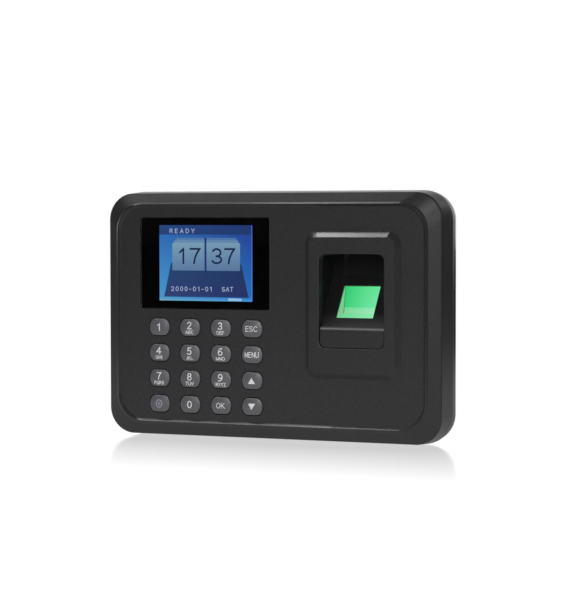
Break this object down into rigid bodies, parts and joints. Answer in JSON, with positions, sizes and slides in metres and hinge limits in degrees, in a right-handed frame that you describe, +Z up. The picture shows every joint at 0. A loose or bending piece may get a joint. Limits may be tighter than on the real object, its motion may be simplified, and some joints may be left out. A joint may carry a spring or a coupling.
{
  "type": "fingerprint scanner terminal",
  "caption": "Wall-hung fingerprint time terminal: bevelled black shell with a colour screen, a grey keypad and a finger slot over a slanted lit sensor window.",
  "frame": {"origin": "middle of the terminal's footprint, on the surface it stands on", "axes": "+Z up, front faces -Y, +X to the right as the user sees the front"},
  "size_m": [0.1728, 0.0284, 0.1194],
  "materials": {
    "front_shell": "black ABS with a fine spark-eroded grain",
    "rear_shell": "black ABS, same grain, a little smoother",
    "lens": "polished acrylic, black behind its border",
    "display": "thin display glass with polariser",
    "light_guide": "white moulded frame and light guide",
    "inner_plastic": "dark moulded ABS",
    "polyimide": "amber polyimide film",
    "key_caps": "dark grey moulded key with a satin crown",
    "silicone": "translucent grey silicone",
    "circuit_board": "green solder mask on glass-fibre board",
    "chip_epoxy": "black moulded epoxy",
    "capacitor_can": "bright drawn can",
    "connector_nylon": "natural nylon",
    "steel_bright": "nickel-plated steel",
    "steel_dark": "black zinc-plated steel",
    "brass_pin": "plated brass",
    "guide_plastic": "black satin ABS",
    "prism_glass": "clear optical glass lit green from below",
    "lamp_resin": "clear resin over a green die",
    "cable_white": "white flat flexible cable",
    "cable_black": "black insulated pair",
    "foam": "closed-cell foam",
    "cone_film": "pressed film cone",
    "bracket_steel": "powder-coated pressed steel"
  },
  "bodies": {
    "root": {"front_housing": "front_shell", "rear_housing": "rear_shell", "screen_lens": "lens", "display_glass": "display", "display_backlight": "light_guide", "display_holder": "inner_plastic", "display_flex": "polyimide", "keypad_membrane": "silicone", "main_board": "circuit_board", "board_chips": "chip_epoxy", "board_capacitors": "capacitor_can", "board_connectors": "connector_nylon", "cell_holder": "chip_epoxy", "clock_cell": "steel_bright", "dc_jack": "chip_epoxy", "dc_jack_pin": "brass_pin", "usb_socket": "steel_bright", "usb_tongue": "connector_nylon", "finger_guide": "guide_plastic", "sensor_prism": "prism_glass", "sensor_cradle": "guide_plastic", "sensor_board": "circuit_board", "sensor_camera": "chip_epoxy", "sensor_lamps": "lamp_resin", "sensor_socket": "connector_nylon", "sensor_cable": "cable_white", "speaker_gasket": "foam", "speaker_frame": "steel_bright", "speaker_cone": "cone_film", "speaker_lead": "cable_black", "housing_screws": "steel_dark", "board_screws": "steel_bright", "guide_screws": "steel_bright", "cradle_screws": "steel_bright", "sensor_board_screws": "steel_bright"},
    "key_1": {"key_1": "key_caps"},
    "key_2": {"key_2": "key_caps"},
    "key_3": {"key_3": "key_caps"},
    "key_esc": {"key_esc": "key_caps"},
    "key_4": {"key_4": "key_caps"},
    "key_5": {"key_5": "key_caps"},
    "key_6": {"key_6": "key_caps"},
    "key_menu": {"key_menu": "key_caps"},
    "key_7": {"key_7": "key_caps"},
    "key_8": {"key_8": "key_caps"},
    "key_9": {"key_9": "key_caps"},
    "key_up": {"key_up": "key_caps"},
    "key_power": {"key_power": "key_caps"},
    "key_0": {"key_0": "key_caps"},
    "key_ok": {"key_ok": "key_caps"},
    "key_down": {"key_down": "key_caps"},
    "bracket": {"wall_bracket": "bracket_steel"}
  },
  "joints": [
    {"name": "key_1_press", "type": "slide", "parent": "root", "child": "key_1", "axis": [0, 1, 0], "range_m": [0, 0.0008], "stiffness_N_per_m": 400, "springref_m": -0.0004, "deforming": ["keypad_membrane"]},
    {"name": "key_2_press", "type": "slide", "parent": "root", "child": "key_2", "axis": [0, 1, 0], "range_m": [0, 0.0008], "stiffness_N_per_m": 400, "springref_m": -0.0004, "deforming": ["keypad_membrane"]},
    {"name": "key_3_press", "type": "slide", "parent": "root", "child": "key_3", "axis": [0, 1, 0], "range_m": [0, 0.0008], "stiffness_N_per_m": 400, "springref_m": -0.0004, "deforming": ["keypad_membrane"]},
    {"name": "key_esc_press", "type": "slide", "parent": "root", "child": "key_esc", "axis": [0, 1, 0], "range_m": [0, 0.0008], "stiffness_N_per_m": 400, "springref_m": -0.0004, "deforming": ["keypad_membrane"]},
    {"name": "key_4_press", "type": "slide", "parent": "root", "child": "key_4", "axis": [0, 1, 0], "range_m": [0, 0.0008], "stiffness_N_per_m": 400, "springref_m": -0.0004, "deforming": ["keypad_membrane"]},
    {"name": "key_5_press", "type": "slide", "parent": "root", "child": "key_5", "axis": [0, 1, 0], "range_m": [0, 0.0008], "stiffness_N_per_m": 400, "springref_m": -0.0004, "deforming": ["keypad_membrane"]},
    {"name": "key_6_press", "type": "slide", "parent": "root", "child": "key_6", "axis": [0, 1, 0], "range_m": [0, 0.0008], "stiffness_N_per_m": 400, "springref_m": -0.0004, "deforming": ["keypad_membrane"]},
    {"name": "key_menu_press", "type": "slide", "parent": "root", "child": "key_menu", "axis": [0, 1, 0], "range_m": [0, 0.0008], "stiffness_N_per_m": 400, "springref_m": -0.0004, "deforming": ["keypad_membrane"]},
    {"name": "key_7_press", "type": "slide", "parent": "root", "child": "key_7", "axis": [0, 1, 0], "range_m": [0, 0.0008], "stiffness_N_per_m": 400, "springref_m": -0.0004, "deforming": ["keypad_membrane"]},
    {"name": "key_8_press", "type": "slide", "parent": "root", "child": "key_8", "axis": [0, 1, 0], "range_m": [0, 0.0008], "stiffness_N_per_m": 400, "springref_m": -0.0004, "deforming": ["keypad_membrane"]},
    {"name": "key_9_press", "type": "slide", "parent": "root", "child": "key_9", "axis": [0, 1, 0], "range_m": [0, 0.0008], "stiffness_N_per_m": 400, "springref_m": -0.0004, "deforming": ["keypad_membrane"]},
    {"name": "key_up_press", "type": "slide", "parent": "root", "child": "key_up", "axis": [0, 1, 0], "range_m": [0, 0.0008], "stiffness_N_per_m": 400, "springref_m": -0.0004, "deforming": ["keypad_membrane"]},
    {"name": "key_power_press", "type": "slide", "parent": "root", "child": "key_power", "axis": [0, 1, 0], "range_m": [0, 0.0008], "stiffness_N_per_m": 400, "springref_m": -0.0004, "deforming": ["keypad_membrane"]},
    {"name": "key_0_press", "type": "slide", "parent": "root", "child": "key_0", "axis": [0, 1, 0], "range_m": [0, 0.0008], "stiffness_N_per_m": 400, "springref_m": -0.0004, "deforming": ["keypad_membrane"]},
    {"name": "key_ok_press", "type": "slide", "parent": "root", "child": "key_ok", "axis": [0, 1, 0], "range_m": [0, 0.0008], "stiffness_N_per_m": 400, "springref_m": -0.0004, "deforming": ["keypad_membrane"]},
    {"name": "key_down_press", "type": "slide", "parent": "root", "child": "key_down", "axis": [0, 1, 0], "range_m": [0, 0.0008], "stiffness_N_per_m": 400, "springref_m": -0.0004, "deforming": ["keypad_membrane"]},
    {"name": "bracket_slide", "type": "slide", "parent": "root", "child": "bracket", "axis": [0, 0, -1], "range_m": [0, 0.005]}
  ]
}
